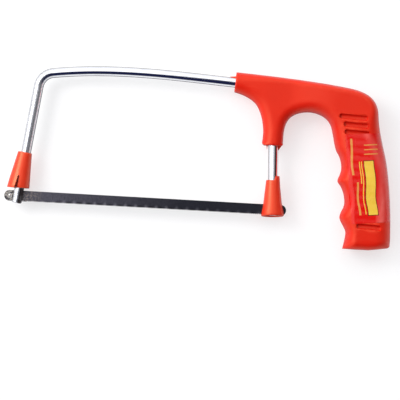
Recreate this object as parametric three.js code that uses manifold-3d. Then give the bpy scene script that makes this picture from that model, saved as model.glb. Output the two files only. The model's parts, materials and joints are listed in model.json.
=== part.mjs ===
// Junior hacksaw with a pistol-grip handle, in millimetres.
//
// The saw lies on its side: the blade runs along X, the bow stands off it towards +Y, and Z is the saw's thickness.
// While it is built, the origin is the centre of the blade's front hole, and Z = 0 is the saw's middle plane. At the
// end the whole saw is moved so that its origin is the middle of the footprint that it lies on.

import * as THREE from 'three';
import { mergeVertices } from 'three/addons/utils/BufferGeometryUtils.js';
import Module from 'manifold-3d';

const wasm = await Module();
wasm.setup();

// ---- Driving dimensions ----

const GAP = 0.3; // between pieces that touch on the real saw

const HOLE_PITCH = 150; // from blade hole to blade hole
const BLADE_WIDTH = 6;
const BLADE_THICKNESS = 0.65;
const BLADE_TIP = 3.3; // from a hole to the nearest end of the blade
const BLADE_HOLE_RADIUS = 1.1;
const TOOTH_PITCH = 1.06; // 24 teeth to the inch
const TOOTH_DEPTH = 0.55;
const TOOTHLESS_END = 9; // from a hole to the first tooth

const PIN_RADIUS = 0.8;
const PIN_LENGTH = 3;

const ROD_RADIUS = 2.7;
const ROD_OFFSET = 4.2; // from a blade hole to the rod's axis, along the blade
const FRONT_ROD_END = -4; // Y of the rod's two free ends
const REAR_ROD_END = -3;
const FRONT_LEAN = 0.134; // X per Y on the front leg
const REAR_LEAN = -0.0424; // X per Y on the rear post
const ARCH_START = new THREE.Vector3(22, 69.4, 0); // the bow's arched top run
const ARCH_END = new THREE.Vector3(119, 69.5, 0);
const ARCH_START_SLOPE = 0.14;
const ARCH_END_SLOPE = -0.06;
const CORNER_RADIUS = 9; // the front bend, at the rod's axis
const BURIED_RADIUS = 12; // the bend inside the handle
const SLOT_WIDTH = BLADE_THICKNESS + 2 * GAP;
const SLOT_TOP = BLADE_WIDTH / 2 + 0.8;

const SLEEVE_LENGTH = 20;
const SLEEVE_BORE_RADIUS = ROD_RADIUS + GAP;
const SLEEVE_ECCENTRICITY = -0.6; // Z of the outside's and the mouth's axis, from the bore's axis
const SLEEVE_SLIT_DEPTH = 7.4;
const FRONT_SLEEVE_LIFT = 4.5; // along the leg, from the blade's centre line to the sleeve's rim
const REAR_SLEEVE_LIFT = -3.4;
const FRONT_SLEEVE_TWIST = THREE.MathUtils.degToRad(80); // how far its slit is turned out of the blade's plane

const GRIP_THICKNESS = 18;
const NECK_THICKNESS = 12;
const EDGE_ROUND_IN_PLANE = 4.5;
const EDGE_ROUND_DEPTH = 6;
const TAPER_START_X = 150; // the handle thickens from the neck's thickness here
const TAPER_END_X = 176; // to the grip's thickness here
const SOCKET_FACE_X = 121.3; // where the rod's top run enters the handle
const NECK_FACE_Y = 35.4; // where the rear post leaves the handle
const TRIM_MARGIN = 12; // the handle is drawn this much too long at its flat ends, then cut

const POCKETS = 15;
const POCKET_LENGTH = 13.6;
const FIRST_POCKET_EXTRA = 1.8; // the first pocket reaches this much further from the grip's back
const POCKET_HEIGHT = 2.7;
const POCKET_CORNER = 1;
const POCKET_DEPTH = 1.5;
const POCKET_TILT = THREE.MathUtils.degToRad(-2.6);
const FIRST_POCKET = new THREE.Vector2(187.6, 53.2);
const LAST_POCKET = new THREE.Vector2(198.4, -6.4);

const LABEL_THICKNESS = 0.3;
const LABEL_WRAP = 4; // how far the label runs on past the middle plane, round the grip's back

// ---- Materials ----

function material(color, roughness, metalness) {
  return new THREE.MeshStandardMaterial({ color, roughness, metalness });
}

const plastic = () => material(0xf03c22, 0.38, 0);
const chrome = () => material(0xe4e6ea, 0.08, 1);
const lacqueredSteel = () => material(0x20202c, 0.42, 0.6);
const bareSteel = () => material(0xa8a8a4, 0.35, 1);
const glossyPrint = () => material(0xd8200f, 0.2, 0);

// ---- Solids ----

function toSolid(geometry) {
  const bare = geometry.clone();
  bare.deleteAttribute('normal');
  bare.deleteAttribute('uv');
  const merged = mergeVertices(bare, 1e-4);
  const vertProperties = new Float32Array(merged.attributes.position.array);
  const triVerts = new Uint32Array(merged.index.array);
  return new wasm.Manifold(new wasm.Mesh({ numProp: 3, vertProperties, triVerts }));
}

function toGeometry(solid) {
  const mesh = solid.getMesh();
  const geometry = new THREE.BufferGeometry();
  geometry.setAttribute('position', new THREE.BufferAttribute(mesh.vertProperties, 3));
  geometry.setIndex(new THREE.BufferAttribute(mesh.triVerts, 1));
  geometry.computeVertexNormals();
  return geometry;
}

function namedMesh(name, geometry, finish) {
  const mesh = new THREE.Mesh(geometry, finish);
  mesh.name = name;
  return mesh;
}

// A slab between two heights, with the outline given in the saw's plane.
function slab(shape, bottom, top, curveSegments = 12) {
  const geometry = new THREE.ExtrudeGeometry(shape, { depth: top - bottom, bevelEnabled: false, curveSegments });
  return geometry.translate(0, 0, bottom);
}

function polygon(corners) {
  return new THREE.Shape(corners.map(([x, y]) => new THREE.Vector2(x, y)));
}

// ---- The rod's route ----

const frontDirection = new THREE.Vector3(FRONT_LEAN, 1, 0).normalize();
const rearDirection = new THREE.Vector3(REAR_LEAN, 1, 0).normalize();

const frontLegAt = (y) => new THREE.Vector3(ROD_OFFSET + FRONT_LEAN * y, y, 0);
const rearPostAt = (y) => new THREE.Vector3(HOLE_PITCH - ROD_OFFSET + REAR_LEAN * y, y, 0);

// The two straight runs on either side of a corner, joined by a round bend.
function addBend(path, from, corner, to, radius) {
  const inward = corner.clone().sub(from).normalize();
  const outward = to.clone().sub(corner).normalize();
  const turn = inward.angleTo(outward);
  const setback = radius * Math.tan(turn / 2);
  const reach = radius * (4 / 3) * Math.tan(turn / 4); // makes the cubic follow the circle
  const start = corner.clone().addScaledVector(inward, -setback);
  const end = corner.clone().addScaledVector(outward, setback);
  const startControl = start.clone().addScaledVector(inward, reach);
  const endControl = end.clone().addScaledVector(outward, -reach);
  path.add(new THREE.LineCurve3(from, start));
  path.add(new THREE.CubicBezierCurve3(start, startControl, endControl, end));
  return end;
}

// The point where the front leg's line meets the line on which the arch begins.
function frontCorner() {
  const leg = frontLegAt(0);
  const archLineAtLeg = ARCH_START.y + ARCH_START_SLOPE * (leg.x - ARCH_START.x);
  return frontLegAt(archLineAtLeg / (1 - ARCH_START_SLOPE * FRONT_LEAN));
}

function rearCorner() {
  const post = rearPostAt(0);
  const archLineAtPost = ARCH_END.y + ARCH_END_SLOPE * (post.x - ARCH_END.x);
  return rearPostAt(archLineAtPost / (1 - ARCH_END_SLOPE * REAR_LEAN));
}

function archCurve() {
  const third = (ARCH_END.x - ARCH_START.x) / 3;
  const startControl = ARCH_START.clone().add(new THREE.Vector3(third, third * ARCH_START_SLOPE, 0));
  const endControl = ARCH_END.clone().add(new THREE.Vector3(-third, -third * ARCH_END_SLOPE, 0));
  return new THREE.CubicBezierCurve3(ARCH_START, startControl, endControl, ARCH_END);
}

// The run from the arch's end through the handle and down the rear post.
function addRearRun(path, postEnd) {
  const bendEnd = addBend(path, ARCH_END, rearCorner(), postEnd, BURIED_RADIUS);
  path.add(new THREE.LineCurve3(bendEnd, postEnd));
}

function rodCurve() {
  const path = new THREE.CurvePath();
  const bendEnd = addBend(path, frontLegAt(FRONT_ROD_END), frontCorner(), ARCH_START, CORNER_RADIUS);
  path.add(new THREE.LineCurve3(bendEnd, ARCH_START));
  path.add(archCurve());
  addRearRun(path, rearPostAt(REAR_ROD_END));
  return path;
}

function tubeAlong(path, radius, sides, stepLength) {
  const section = new THREE.Shape().absarc(0, 0, radius, 0, 2 * Math.PI);
  const steps = Math.ceil(path.getLength() / stepLength);
  const options = { extrudePath: path, steps, curveSegments: sides / 2, bevelEnabled: false };
  return new THREE.ExtrudeGeometry(section, options);
}

// ---- Bow ----

// The slot across a free end of the rod, which the blade drops into.
function rodSlot(axisAt, direction) {
  const length = 2 * (SLOT_TOP - FRONT_ROD_END);
  const box = new THREE.BoxGeometry(4 * ROD_RADIUS, length, SLOT_WIDTH);
  const centre = axisAt(SLOT_TOP).addScaledVector(direction, -length / 2);
  box.rotateZ(-Math.atan2(direction.x, direction.y));
  return box.translate(centre.x, centre.y, 0);
}

function makeBow() {
  return toSolid(tubeAlong(rodCurve(), ROD_RADIUS, 16, 2.4))
    .subtract(toSolid(rodSlot(frontLegAt, frontDirection)))
    .subtract(toSolid(rodSlot(rearPostAt, rearDirection)));
}

// ---- Handle ----

// The handle's side view. It runs past the three flat ends, which are cut off later.
function handleOutline() {
  const shape = new THREE.Shape();
  shape.moveTo(SOCKET_FACE_X - TRIM_MARGIN, 75.9);
  shape.lineTo(SOCKET_FACE_X, 75.2);
  shape.quadraticCurveTo(155, 73.3, 184.3, 69.7);
  shape.bezierCurveTo(195, 68.2, 200.3, 64, 201.4, 56.2);
  shape.bezierCurveTo(202.2, 47.5, 204, 41.5, 206.4, 33);
  shape.bezierCurveTo(209.4, 21.5, 211.4, 3, 211.8, -15.8);
  shape.lineTo(212, -20 - TRIM_MARGIN);
  shape.lineTo(183.2, -20 - TRIM_MARGIN);
  shape.lineTo(186.4, -14);
  shape.splineThru([
    [184.3, -2], [185.1, 8], [182.4, 18], [181.9, 28], [178.4, 38], [176.2, 47],
    [172, 52.4], [163, 55.1], [154, 52.2], [150.2, 45],
  ].map(([x, y]) => new THREE.Vector2(x, y)));
  shape.lineTo(149.5, NECK_FACE_Y);
  shape.lineTo(149.5, NECK_FACE_Y - TRIM_MARGIN);
  shape.lineTo(138.1, NECK_FACE_Y - TRIM_MARGIN);
  shape.lineTo(138.2, NECK_FACE_Y + 5);
  shape.bezierCurveTo(138.4, 53, 134, 61, SOCKET_FACE_X, 64);
  shape.lineTo(SOCKET_FACE_X - TRIM_MARGIN, 64.6);
  return shape;
}

function handleHalfThickness(x) {
  const along = THREE.MathUtils.smootherstep(x, TAPER_START_X, TAPER_END_X);
  return THREE.MathUtils.lerp(NECK_THICKNESS, GRIP_THICKNESS, along) / 2;
}

// The untrimmed handle, grown by an offset on every side.
function handleBlank(offset) {
  const halfDepth = GRIP_THICKNESS / 2 - EDGE_ROUND_DEPTH;
  const geometry = new THREE.ExtrudeGeometry(handleOutline(), {
    depth: 2 * halfDepth,
    curveSegments: 8,
    bevelSize: EDGE_ROUND_IN_PLANE,
    bevelOffset: offset - EDGE_ROUND_IN_PLANE,
    bevelThickness: EDGE_ROUND_DEPTH + offset,
    bevelSegments: 4,
  });
  geometry.translate(0, 0, -halfDepth);
  const position = geometry.attributes.position;
  for (let i = 0; i < position.count; i += 1) {
    const scale = handleHalfThickness(position.getX(i)) / (GRIP_THICKNESS / 2);
    position.setZ(i, position.getZ(i) * scale);
  }
  return toSolid(geometry);
}

// A prism whose edges are the handle's flat ends: the socket's face, the neck's face and the butt.
function handleTrim() {
  const shape = polygon([
    [SOCKET_FACE_X, 58], [SOCKET_FACE_X, 90], [225, 90], [225, -15.8], [211.6, -15.8],
    [210.6, -17.6], [199.4, -19.4], [160, -19.4], [160, NECK_FACE_Y], [130, NECK_FACE_Y], [130, 58],
  ]);
  return toSolid(slab(shape, -GRIP_THICKNESS, GRIP_THICKNESS));
}

function rodChannel() {
  const path = new THREE.CurvePath();
  addRearRun(path, rearPostAt(NECK_FACE_Y - TRIM_MARGIN));
  return toSolid(tubeAlong(path, ROD_RADIUS + GAP + 0.1, 16, 2.4));
}

function roundedBar(length, height, corner) {
  const x = length / 2 - corner;
  const y = height / 2 - corner;
  const shape = new THREE.Shape();
  shape.absarc(x, y, corner, 0, Math.PI / 2);
  shape.absarc(-x, y, corner, Math.PI / 2, Math.PI);
  shape.absarc(-x, -y, corner, Math.PI, 1.5 * Math.PI);
  shape.absarc(x, -y, corner, 1.5 * Math.PI, 2 * Math.PI);
  return shape;
}

// The row of pockets down one side of the grip; side is 1 for the upper side and -1 for the lower.
function pocketRow(side) {
  const outside = GRIP_THICKNESS / 2 + 1;
  const floor = GRIP_THICKNESS / 2 - POCKET_DEPTH;
  const [bottom, top] = side > 0 ? [floor, outside] : [-outside, -floor];
  return Array.from({ length: POCKETS }, (_, i) => {
    const extra = i === 0 ? FIRST_POCKET_EXTRA : 0;
    const bar = roundedBar(POCKET_LENGTH + extra, POCKET_HEIGHT, POCKET_CORNER);
    const centre = FIRST_POCKET.clone().lerp(LAST_POCKET, i / (POCKETS - 1));
    return toSolid(slab(bar, bottom, top, 3).rotateZ(POCKET_TILT).translate(centre.x - extra / 2, centre.y, 0));
  });
}

function makeHandle() {
  let handle = handleBlank(0).intersect(handleTrim()).subtract(rodChannel());
  for (const pocket of [...pocketRow(1), ...pocketRow(-1)]) {
    handle = handle.subtract(pocket);
  }
  return handle;
}

// ---- Label ----

// A thin skin over the grip's upper side that runs on round the grip's back.
function makeLabel() {
  const area = polygon([[188.9, -5.2], [220, -1.9], [220, 47.3], [182.7, 43.3]]);
  const footprint = toSolid(slab(area, -LABEL_WRAP, GRIP_THICKNESS));
  return handleBlank(GAP + LABEL_THICKNESS).subtract(handleBlank(GAP)).intersect(footprint);
}

// ---- Lock sleeves ----

// The sleeve stands on its rim, with its bore along Y and its slit in the XY plane.
function sleeveBody() {
  const outside = new THREE.LatheGeometry([
    new THREE.Vector2(0, 0), new THREE.Vector2(6.35, 0), new THREE.Vector2(6.15, 5),
    new THREE.Vector2(5.3, 10), new THREE.Vector2(4.6, 15), new THREE.Vector2(4.1, SLEEVE_LENGTH),
    new THREE.Vector2(0, SLEEVE_LENGTH),
  ], 32);
  const bore = new THREE.CylinderGeometry(SLEEVE_BORE_RADIUS, SLEEVE_BORE_RADIUS, 3 * SLEEVE_LENGTH, 24);
  const mouth = new THREE.LatheGeometry([
    new THREE.Vector2(0, -1), new THREE.Vector2(5.65, -1), new THREE.Vector2(5.6, 5.2),
    new THREE.Vector2(SLEEVE_BORE_RADIUS, 7), new THREE.Vector2(0, 7),
  ], 32);
  const slit = new THREE.BoxGeometry(SLEEVE_LENGTH, 2 * SLEEVE_SLIT_DEPTH, SLOT_WIDTH);
  return toSolid(outside.translate(0, 0, SLEEVE_ECCENTRICITY))
    .subtract(toSolid(bore))
    .subtract(toSolid(mouth.translate(0, 0, SLEEVE_ECCENTRICITY)))
    .subtract(toSolid(slit));
}

function makeSleeve(name, axisAt, direction, lift, twist) {
  const mesh = namedMesh(name, toGeometry(sleeveBody()), plastic());
  mesh.position.copy(axisAt(0).addScaledVector(direction, lift));
  mesh.rotation.set(0, twist, -Math.atan2(direction.x, direction.y), 'ZYX');
  return mesh;
}

// ---- Blade and pins ----

function bladeOutline() {
  const half = BLADE_WIDTH / 2;
  const firstTooth = TOOTHLESS_END;
  const teeth = Math.floor((HOLE_PITCH - 2 * TOOTHLESS_END) / TOOTH_PITCH);
  const endCentre = BLADE_TIP - half;
  const shape = new THREE.Shape();
  shape.absarc(HOLE_PITCH + endCentre, 0, half, -Math.PI / 2, Math.PI / 2);
  shape.absarc(-endCentre, 0, half, Math.PI / 2, 1.5 * Math.PI);
  for (let i = 0; i < teeth; i += 1) {
    const x = firstTooth + i * TOOTH_PITCH;
    shape.lineTo(x, -half);
    shape.lineTo(x + 0.15 * TOOTH_PITCH, -half + TOOTH_DEPTH);
  }
  shape.lineTo(firstTooth + teeth * TOOTH_PITCH, -half);
  for (const x of [0, HOLE_PITCH]) {
    shape.holes.push(new THREE.Path().absarc(x, 0, BLADE_HOLE_RADIUS, 0, 2 * Math.PI));
  }
  return shape;
}

function makePin(name, x) {
  const geometry = new THREE.CylinderGeometry(PIN_RADIUS, PIN_RADIUS, PIN_LENGTH, 16).rotateX(Math.PI / 2);
  const mesh = namedMesh(name, geometry, bareSteel());
  mesh.position.set(x, 0, 0);
  return mesh;
}

// ---- The saw ----

function makeSaw() {
  const saw = new THREE.Group();
  saw.add(namedMesh('handle', toGeometry(makeHandle()), plastic()));
  saw.add(namedMesh('bow_rod', toGeometry(makeBow()), chrome()));
  saw.add(makeSleeve('front_sleeve', frontLegAt, frontDirection, FRONT_SLEEVE_LIFT, FRONT_SLEEVE_TWIST));
  saw.add(makeSleeve('rear_sleeve', rearPostAt, rearDirection, REAR_SLEEVE_LIFT, 0));
  saw.add(namedMesh('blade', slab(bladeOutline(), -BLADE_THICKNESS / 2, BLADE_THICKNESS / 2), lacqueredSteel()));
  saw.add(makePin('front_pin', 0));
  saw.add(makePin('rear_pin', HOLE_PITCH));
  saw.add(namedMesh('grip_label', toGeometry(makeLabel()), glossyPrint()));
  return saw;
}

const saw = makeSaw();
const extent = new THREE.Box3().setFromObject(saw);
const middle = extent.getCenter(new THREE.Vector3());
saw.position.set(-middle.x, -middle.y, -extent.min.z);

const part = new THREE.Group();
part.add(saw);

export default part;
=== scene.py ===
"""The looks of a junior hacksaw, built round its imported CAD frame.

Shapes are worked out in the saw's own coordinates, in millimetres: X runs along the blade from its front
hole, Y points at the bow, and Z = 0 is the saw's middle plane. add_piece() turns them into metres in the frame.
"""

import json
import math

import bmesh
import bpy
import numpy as np
from mathutils import Euler, Matrix, Vector
from mathutils.geometry import delaunay_2d_cdt


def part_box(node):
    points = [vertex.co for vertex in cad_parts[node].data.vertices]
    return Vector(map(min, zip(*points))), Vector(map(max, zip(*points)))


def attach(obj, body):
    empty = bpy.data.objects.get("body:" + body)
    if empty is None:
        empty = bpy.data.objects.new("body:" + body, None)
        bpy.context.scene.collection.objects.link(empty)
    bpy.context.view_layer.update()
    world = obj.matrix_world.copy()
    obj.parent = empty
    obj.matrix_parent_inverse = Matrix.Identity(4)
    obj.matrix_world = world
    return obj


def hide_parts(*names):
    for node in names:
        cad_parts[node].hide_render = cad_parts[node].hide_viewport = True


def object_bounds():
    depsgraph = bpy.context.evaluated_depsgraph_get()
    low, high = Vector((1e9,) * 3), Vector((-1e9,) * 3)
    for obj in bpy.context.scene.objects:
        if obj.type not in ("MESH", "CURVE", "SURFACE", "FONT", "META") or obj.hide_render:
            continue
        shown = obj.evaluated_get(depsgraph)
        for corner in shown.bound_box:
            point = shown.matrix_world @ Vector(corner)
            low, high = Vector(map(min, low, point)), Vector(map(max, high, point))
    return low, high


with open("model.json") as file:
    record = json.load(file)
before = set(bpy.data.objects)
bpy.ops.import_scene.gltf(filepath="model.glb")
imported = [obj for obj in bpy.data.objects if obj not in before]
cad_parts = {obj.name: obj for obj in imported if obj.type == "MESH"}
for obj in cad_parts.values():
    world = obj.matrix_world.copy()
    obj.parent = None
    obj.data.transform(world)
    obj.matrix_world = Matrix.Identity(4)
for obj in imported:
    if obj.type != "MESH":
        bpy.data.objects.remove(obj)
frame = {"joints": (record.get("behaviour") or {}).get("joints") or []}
cad_low, cad_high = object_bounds()

MM = 0.001


def box_centre(node):
    low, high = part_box(node)
    return (low + high) / 2


ORIGIN = box_centre("front_pin")
HOLE_PITCH = (box_centre("rear_pin") - ORIGIN).x / MM
FLOOR_Z = cad_low.z - 0.1 * MM  # just clear of the handle's lower side

# ---- Driving dimensions, in millimetres ----

BLADE_WIDTH = 6
BLADE_THICKNESS = 0.65
BLADE_TIP = 3.3  # from a hole to the nearest end of the blade
BLADE_HOLE_RADIUS = 1.1
TOOTH_PITCH = 1.06
TOOTH_DEPTH = 0.55
TOOTHLESS_END = 9
SET_PITCH = 5.7  # the length of one wave of the teeth's set
SET_DEPTH = 0.22

PIN_RADIUS = 0.85
PIN_LENGTH = 3

ROD_RADIUS = 2.7
ROD_OFFSET = 4.2  # from a blade hole to the rod's axis, along the blade
FRONT_ROD_END = -4  # Y of the rod's two free ends
REAR_ROD_END = -3
ROD_SIDES = 64
FRONT_LEAN = 0.134  # X per Y on the front leg
REAR_LEAN = -0.0424
ARCH_START = np.array([22, 69.4])
ARCH_END = np.array([119, 69.5])
ARCH_START_SLOPE = 0.14
ARCH_END_SLOPE = -0.06
CORNER_RADIUS = 9
BURIED_RADIUS = 12
SLOT_WIDTH = BLADE_THICKNESS + 0.6
SLOT_TOP = BLADE_WIDTH / 2 + 0.8
SLOT_EDGE = math.asin(SLOT_WIDTH / 2 / ROD_RADIUS)  # the angle round the rod of a slot's edge

SLEEVE_LENGTH = 20
SLEEVE_BORE_RADIUS = 2.83
SLEEVE_SLIT_WIDTH = 1.8  # at the rim; the slit narrows to half of it
SLEEVE_SLIT_DEPTH = 7
SLIT_END_RADIUS = SLEEVE_SLIT_WIDTH / 4
SLIT_STRAIGHT = SLEEVE_SLIT_DEPTH - SLIT_END_RADIUS
SLEEVE_OFFSET = -0.7  # the outside and the mouth stand off the bore's axis
SLEEVE_RIM_SLANT = 0.11  # how much the rim climbs across the sleeve
SLEEVE_TONGUE = 2.3
FRONT_SLEEVE_LIFT = 4.5
REAR_SLEEVE_LIFT = -3.4
FRONT_SLEEVE_TWIST = math.radians(80)
SLEEVE_IN_PLANE = ((0, 6.25), (1, 6.2), (2.7, 5.95), (5, 5.45), (7.8, 5.05), (13.5, 4.45), (20, 3.7))
SLEEVE_ACROSS = ((0, 6.15), (5, 5.65), (10, 5.05), (15, 4.45), (20, 3.85))
SLEEVE_MOUTH = ((0, 5.35), (1, 5.15), (5.2, 4.75), (7.2, SLEEVE_BORE_RADIUS), (20, SLEEVE_BORE_RADIUS))

GRIP_THICKNESS = 18
NECK_THICKNESS = 11.8
THROAT_ROUNDING = 5.8
POCKETS = 15
POCKET_LENGTH = 13.6
FIRST_POCKET_EXTRA = 1.8  # the first pocket reaches this much further from the grip's back
POCKET_HEIGHT = 2.7
POCKET_CORNER = 0.9
POCKET_DEPTH = 1.3
POCKET_TILT = math.radians(-2.6)
POCKET_TURN = np.array([
    [math.cos(POCKET_TILT), math.sin(POCKET_TILT)],
    [-math.sin(POCKET_TILT), math.cos(POCKET_TILT)],
])
FIRST_POCKET = np.array([187.6, 53.2])
LAST_POCKET = np.array([198.4, -6.4])

LABEL_BOTTOM = np.array([188.9, -5.2])  # its left corners
LABEL_TOP = np.array([182.7, 43.3])
LABEL_ROW_ANGLE = math.radians(6.1)
LABEL_DIRECTION = np.array([math.cos(LABEL_ROW_ANGLE), math.sin(LABEL_ROW_ANGLE)])
LABEL_WRAP = 4  # how far the label runs on past the middle plane, round the grip's back
LABEL_LIFT = 0.1  # the film's outer face over the handle's surface
LABEL_SAG = 0.045  # how far the film dips over a pocket
FILM_THICKNESS = 0.07
PRINT_END = 18  # everything printed is nearer than this to the label's left edge


# ---- Curves in the saw's plane ----


def cubic(start, start_control, end_control, end, count=32):
    points = [np.array(p, float) for p in (start, start_control, end_control, end)]
    t = np.linspace(0, 1, count)[:, None]
    weights = ((1 - t) ** 3, 3 * t * (1 - t) ** 2, 3 * t**2 * (1 - t), t**3)
    return sum(w * p for w, p in zip(weights, points))


def smooth_through(points):
    """A smooth curve through every point, by cubics whose slopes come from the neighbouring points."""
    points = np.array(points, float)
    slopes = np.gradient(points, axis=0)
    spans = []
    for a, b, slope_a, slope_b in zip(points, points[1:], slopes, slopes[1:]):
        spans.append(cubic(a, a + slope_a / 3, b - slope_b / 3, b, 12)[:-1])
    return np.vstack([*spans, points[-1:]])


def distances_along(line):
    """How far each point of a line is from its start, along the line."""
    return np.concatenate([[0], np.cumsum(np.linalg.norm(np.diff(line, axis=0), axis=1))])


def points_at(line, distances):
    return np.column_stack([np.interp(distances, distances_along(line), column) for column in line.T])


def resample(points, spacing):
    """The same line with its points an even distance apart."""
    line = np.asarray(points, float)
    length = distances_along(line)[-1]
    return points_at(line, np.linspace(0, length, max(2, round(length / spacing) + 1)))


def distance_to(line, points):
    """How far each point is from a line of points."""
    start, step = line[:-1], np.diff(line, axis=0)
    best = np.full(len(points), np.inf)
    for a, s in zip(start, step):
        share = np.clip(((points - a) @ s) / (s @ s), 0, 1)
        best = np.minimum(best, np.linalg.norm(points - a - share[:, None] * s, axis=1))
    return best


def inside(outline, points):
    """Which points lie inside a closed outline."""
    x, y = points.T
    result = np.zeros(len(points), bool)
    for (x0, y0), (x1, y1) in zip(outline, np.roll(outline, -1, axis=0)):
        if y0 == y1:
            continue
        crosses = (y0 > y) != (y1 > y)
        result ^= crosses & (x < x0 + (y - y0) * (x1 - x0) / (y1 - y0))
    return result


def across(line):
    """Unit vectors square to a line, in the saw's plane."""
    tangents = np.gradient(line, axis=0)
    normals = np.column_stack([-tangents[:, 1], tangents[:, 0]])
    return normals / np.linalg.norm(normals, axis=1)[:, None]


def smooth_step(low, high, value):
    t = np.clip((value - low) / (high - low), 0, 1)
    return t * t * (3 - 2 * t)


def mix(a, b, share):
    return a + (b - a) * share


# ---- Meshes ----


def add_object(name, data):
    item = bpy.data.objects.new(name, data)
    bpy.context.scene.collection.objects.link(item)
    return item


def add_piece(name, surface, materials, body, node, sharp_degrees=38):
    """Makes a surface a closed mesh in the frame's own place, and joins the vertices that meet. The piece
    hangs under a body's empty, holds the given materials, and hides the CAD node it stands in for."""
    mesh = bpy.data.meshes.new(name)
    mesh.from_pydata([ORIGIN + Vector(v) * MM for v in surface.vertices], [], surface.faces)
    mesh.polygons.foreach_set("material_index", surface.face_materials)
    edit = bmesh.new()
    edit.from_mesh(mesh)
    bmesh.ops.remove_doubles(edit, verts=edit.verts, dist=0.002 * MM)
    bmesh.ops.recalc_face_normals(edit, faces=edit.faces)
    edit.to_mesh(mesh)
    edit.free()
    for material in materials:
        mesh.materials.append(material)
    mesh.shade_smooth()
    mesh.set_sharp_from_angle(angle=math.radians(sharp_degrees))
    piece = add_object(name, mesh)
    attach(piece, body)
    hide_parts(node)


class Surface:
    """Vertices and faces collected ring by ring."""

    def __init__(self):
        self.vertices = []
        self.faces = []
        self.face_materials = []

    def add_vertices(self, points):
        first = len(self.vertices)
        self.vertices.extend(tuple(p) for p in points)
        return list(range(first, len(self.vertices)))

    def add_face(self, corners, material=0):
        self.faces.append(tuple(corners))
        self.face_materials.append(material)

    def bridge(self, one, other, closed=True):
        """Quads between two rows of vertices."""
        count = len(one) if closed else len(one) - 1
        for i in range(count):
            j = (i + 1) % len(one)
            self.add_face((one[i], one[j], other[j], other[i]))


def triangulate(outlines, inner_points):
    """Triangles over a region of the saw's plane: the first outline is its edge, the others are holes."""
    points = np.vstack([*outlines, inner_points])
    edges = []
    first = 0
    for outline in outlines:
        count = len(outline)
        edges += [(first + i, first + (i + 1) % count) for i in range(count)]
        first += count
    flat, _, triangles, *_ = delaunay_2d_cdt([Vector(p) for p in points], edges, [], 0, 1e-6, False)
    flat = np.array([tuple(p) for p in flat])
    triangles = np.array(triangles)
    middles = flat[triangles].mean(axis=1)
    kept = inside(outlines[0], middles)
    for hole in outlines[1:]:
        kept &= ~inside(hole, middles)
    return flat, triangles[kept], edges


def two_sided(flat, triangles, edges, lower, upper):
    """The upper and lower skins over one triangulation, and the walls between them along the edges. There
    is no wall where the skins meet."""
    body = Surface()
    top = body.add_vertices(np.column_stack([flat, upper]))
    bottom = body.add_vertices(np.column_stack([flat, lower]))
    for a, b, c in triangles:
        body.add_face((top[a], top[b], top[c]))
        body.add_face((bottom[c], bottom[b], bottom[a]))
    for a, b in edges:
        if upper[a] - lower[a] > 1e-4 or upper[b] - lower[b] > 1e-4:
            body.add_face((top[b], top[a], bottom[a], bottom[b]))
    return body


# ---- Handle ----

BACK = resample(
    np.vstack([
        cubic((121.6, 75.2), (144, 73.95), (165, 72.6), (184.3, 69.7)),
        cubic((184.3, 69.7), (195, 68.2), (200.3, 64), (201.4, 56.2))[1:],
        cubic((201.4, 56.2), (202.2, 47.5), (204, 41.5), (206.4, 33))[1:],
        cubic((206.4, 33), (209.4, 21.5), (211.4, 3), (211.8, -15.8))[1:],
    ]),
    0.7,
)
FINGER_SIDE = resample(
    smooth_through([
        (185.5, -19.3), (186.5, -14.5), (186.9, -10.3), (185.8, -7.5), (183.9, -4.3), (183.1, -2),
        (183.6, 0.5), (184.9, 3.5), (185.4, 6), (185.1, 9), (184.3, 12), (182.9, 15), (181.2, 17.2),
        (181, 19), (181.9, 21.5), (182.6, 24.5), (182.3, 28), (181.2, 31.5), (179.4, 34.5), (178.2, 38),
        (176.8, 44), (175.2, 49), (172, 52.5), (167.2, 54.6), (162.2, 55.1), (157.1, 54.1), (153.2, 51.9),
        (150.8, 48.4), (149.7, 43.6), (149.5, 37.2),
    ]),
    0.6,
)
FINGER_MEAN = resample(
    smooth_through([
        (186, -24), (185.2, -12), (184, 0), (182.7, 12), (181.3, 24), (178.8, 36), (175.2, 48), (167.2, 54.4),
        (157.1, 54.1), (150.8, 48.4), (149.5, 37.2), (149.5, 30),
    ]),
    1,
)
THROAT = resample(
    smooth_through([
        (137.9, 37.6), (138.1, 39.5), (138.2, 43), (137.8, 46.5), (137, 50.3), (135.6, 54.2), (133.4, 57.9),
        (129.9, 60.7), (125.6, 62.7), (121, 64),
    ]),
    0.6,
)
SOCKET_FACE = resample([THROAT[-1], BACK[0]], 0.6)
NECK_FACE = resample(
    np.vstack([
        cubic(FINGER_SIDE[-1], (149.5, 36.2), (149.3, 35.7), (148.4, 35.6), 6),
        cubic((139.6, 35.6), (138.5, 35.7), (137.9, 36.6), THROAT[0], 6),
    ]),
    0.5,
)
BUTT = resample([BACK[-1], (211.5, -16.9), (210.3, -17.7), (199.4, -19.3), FINGER_SIDE[0]], 0.6)
OUTLINE = np.vstack([line[:-1] for line in (BACK, BUTT, FINGER_SIDE, NECK_FACE, THROAT, SOCKET_FACE)])
END_FACES = (  # each with its rounding's reach and depth, and how far the grid of points stays away
    (SOCKET_FACE, 0.8, 0.7, 1.2),
    (NECK_FACE, 0.9, 0.8, 1.3),
    (BUTT, 4.6, 10, 4.8),
)
GRID_SPACING = 1.1


def back_rounding(points):
    """How far in from the back the handle's surface keeps falling towards the edge."""
    x, y = points.T
    top_bar = mix(5.4, 3.4, smooth_step(122, 142, x))
    return mix(top_bar, 9.4, smooth_step(66, 38, y) * smooth_step(170, 190, x))


def finger_rounding(points):
    return mix(THROAT_ROUNDING, 6.4, smooth_step(150, 172, points[:, 0]))


def rounded(distance, radius):
    t = np.clip(distance / radius, 0, 1)
    return np.sqrt(1 - (1 - t) ** 2)


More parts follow.
